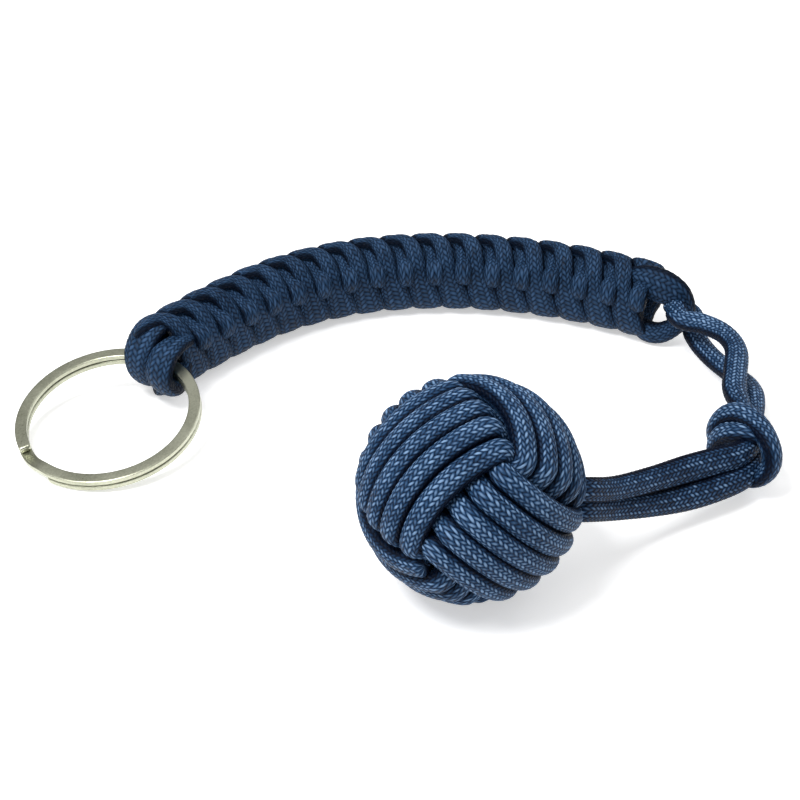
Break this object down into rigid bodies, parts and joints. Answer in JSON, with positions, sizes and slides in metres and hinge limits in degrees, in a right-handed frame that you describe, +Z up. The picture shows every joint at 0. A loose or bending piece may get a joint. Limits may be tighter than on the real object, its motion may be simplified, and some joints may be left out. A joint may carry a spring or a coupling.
{
  "type": "monkey fist knot key fob",
  "caption": "Cord-wrapped steel ball on a knotted neck loop, linked to a flat cobra-tied strap that ends in a split key ring.",
  "frame": {"origin": "on the table, under the middle stitch of the strap, in the strap's flat lower edge", "axes": "+Z up from the table, +X along the strap from the ring's end towards the fist's end, +Y away from the viewer of the picture, across the strap's middle"},
  "size_m": [0.1451, 0.1157, 0.038],
  "materials": {
    "cord": "matt woven nylon cord, navy blue",
    "steel_ball": "plain ground steel",
    "ring_metal": "bright nickel plate with fine wear"
  },
  "bodies": {
    "fist": {"steel_core": "steel_ball", "fist_winding": "cord"},
    "neck": {"neck_cord_upper": "cord", "neck_cord_lower": "cord", "overhand_knot": "cord", "eye_loop": "cord"},
    "strap_5": {"stitch_14": "cord", "stitch_15": "cord", "stitch_16": "cord", "stitch_17": "cord", "far_eye": "cord"},
    "strap_4": {"stitch_11": "cord", "stitch_12": "cord", "stitch_13": "cord", "core_strand_upper_4": "cord", "core_strand_lower_4": "cord"},
    "strap_3": {"stitch_08": "cord", "stitch_09": "cord", "stitch_10": "cord", "core_strand_upper_3": "cord", "core_strand_lower_3": "cord"},
    "strap_2": {"stitch_05": "cord", "stitch_06": "cord", "stitch_07": "cord", "core_strand_upper_2": "cord", "core_strand_lower_2": "cord"},
    "strap_1": {"stitch_01": "cord", "stitch_02": "cord", "stitch_03": "cord", "stitch_04": "cord", "ring_loop": "cord"},
    "key_ring": {"key_ring": "ring_metal"}
  },
  "joints": [
    {"name": "neck_bend", "type": "hinge", "parent": "fist", "child": "neck", "pos_m": [0.03457, -0.09165, 0.01893], "axis": [0, 0, 1], "range_deg": [-12, 12]},
    {"name": "eye_swing", "type": "hinge", "parent": "neck", "child": "strap_5", "pos_m": [0.06029, -0.01376, 0.0086], "axis": [0, 0, 1], "range_deg": [-20, 12]},
    {"name": "strap_curl_4", "type": "hinge", "parent": "strap_5", "child": "strap_4", "pos_m": [0.02969, -0.00111, 0.0086], "axis": [0, 0, 1], "range_deg": [-15, 4]},
    {"name": "strap_curl_3", "type": "hinge", "parent": "strap_4", "child": "strap_3", "pos_m": [0.00992, 0.00095, 0.0086], "axis": [0, 0, 1], "range_deg": [-15, 4]},
    {"name": "strap_curl_2", "type": "hinge", "parent": "strap_3", "child": "strap_2", "pos_m": [-0.00959, -0.0027, 0.0086], "axis": [0, 0, 1], "range_deg": [-15, 4]},
    {"name": "strap_curl_1", "type": "hinge", "parent": "strap_2", "child": "strap_1", "pos_m": [-0.02666, -0.01278, 0.0086], "axis": [0, 0, 1], "range_deg": [-15, 4]},
    {"name": "ring_flap", "type": "hinge", "parent": "strap_1", "child": "key_ring", "pos_m": [-0.04627, -0.03437, 0.0086], "axis": [-0.9135, 0.4067, 0], "range_deg": [0, 105]}
  ],
  "couplings": [
    {"joint": "strap_curl_3", "follows": "strap_curl_4", "ratio": 1},
    {"joint": "strap_curl_2", "follows": "strap_curl_4", "ratio": 1},
    {"joint": "strap_curl_1", "follows": "strap_curl_4", "ratio": 1}
  ]
}
